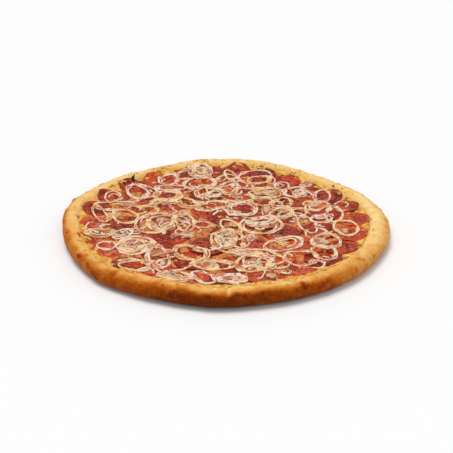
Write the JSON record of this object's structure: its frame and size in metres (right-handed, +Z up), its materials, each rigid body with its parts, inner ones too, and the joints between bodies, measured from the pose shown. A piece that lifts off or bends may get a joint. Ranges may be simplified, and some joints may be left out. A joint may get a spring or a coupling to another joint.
{
  "type": "sausage pizza",
  "caption": "Whole round pizza with a puffed baked rim, a bed of melted cheese, overlapping round sausage slices and a net of onion rings.",
  "frame": {"origin": "middle of the flat underside, at table height", "axes": "+Z up out of the toppings, -Y towards the side seen at the front of the picture, +X to its right"},
  "size_m": [0.3542, 0.3492, 0.0214],
  "materials": {
    "crust": "baked dough, dry and matt",
    "cheese": "melted cheese, slightly oily",
    "sausage": "cured sausage, oily sheen",
    "onion": "soft baked onion, moist and a little see-through"
  },
  "bodies": {
    "root": {"crust": "crust", "cheese": "cheese", "onion_rings": "onion", "sausage_01": "sausage", "sausage_02": "sausage", "sausage_03": "sausage", "sausage_04": "sausage", "sausage_05": "sausage", "sausage_06": "sausage", "sausage_07": "sausage", "sausage_08": "sausage", "sausage_09": "sausage", "sausage_10": "sausage", "sausage_11": "sausage", "sausage_12": "sausage", "sausage_13": "sausage", "sausage_14": "sausage", "sausage_15": "sausage", "sausage_16": "sausage", "sausage_17": "sausage", "sausage_18": "sausage", "sausage_19": "sausage", "sausage_20": "sausage", "sausage_21": "sausage", "sausage_22": "sausage", "sausage_23": "sausage", "sausage_24": "sausage", "sausage_25": "sausage", "sausage_26": "sausage", "sausage_27": "sausage", "sausage_28": "sausage", "sausage_29": "sausage", "sausage_30": "sausage", "sausage_31": "sausage", "sausage_32": "sausage", "sausage_33": "sausage", "sausage_34": "sausage", "sausage_35": "sausage", "sausage_36": "sausage", "sausage_37": "sausage", "sausage_38": "sausage", "sausage_39": "sausage", "sausage_40": "sausage", "sausage_41": "sausage", "sausage_42": "sausage", "sausage_43": "sausage", "sausage_44": "sausage", "sausage_45": "sausage", "sausage_46": "sausage", "sausage_47": "sausage", "sausage_48": "sausage", "sausage_49": "sausage", "sausage_50": "sausage", "sausage_51": "sausage", "sausage_52": "sausage", "sausage_53": "sausage", "sausage_54": "sausage", "sausage_55": "sausage", "sausage_56": "sausage", "sausage_57": "sausage"}
  },
  "joints": []
}
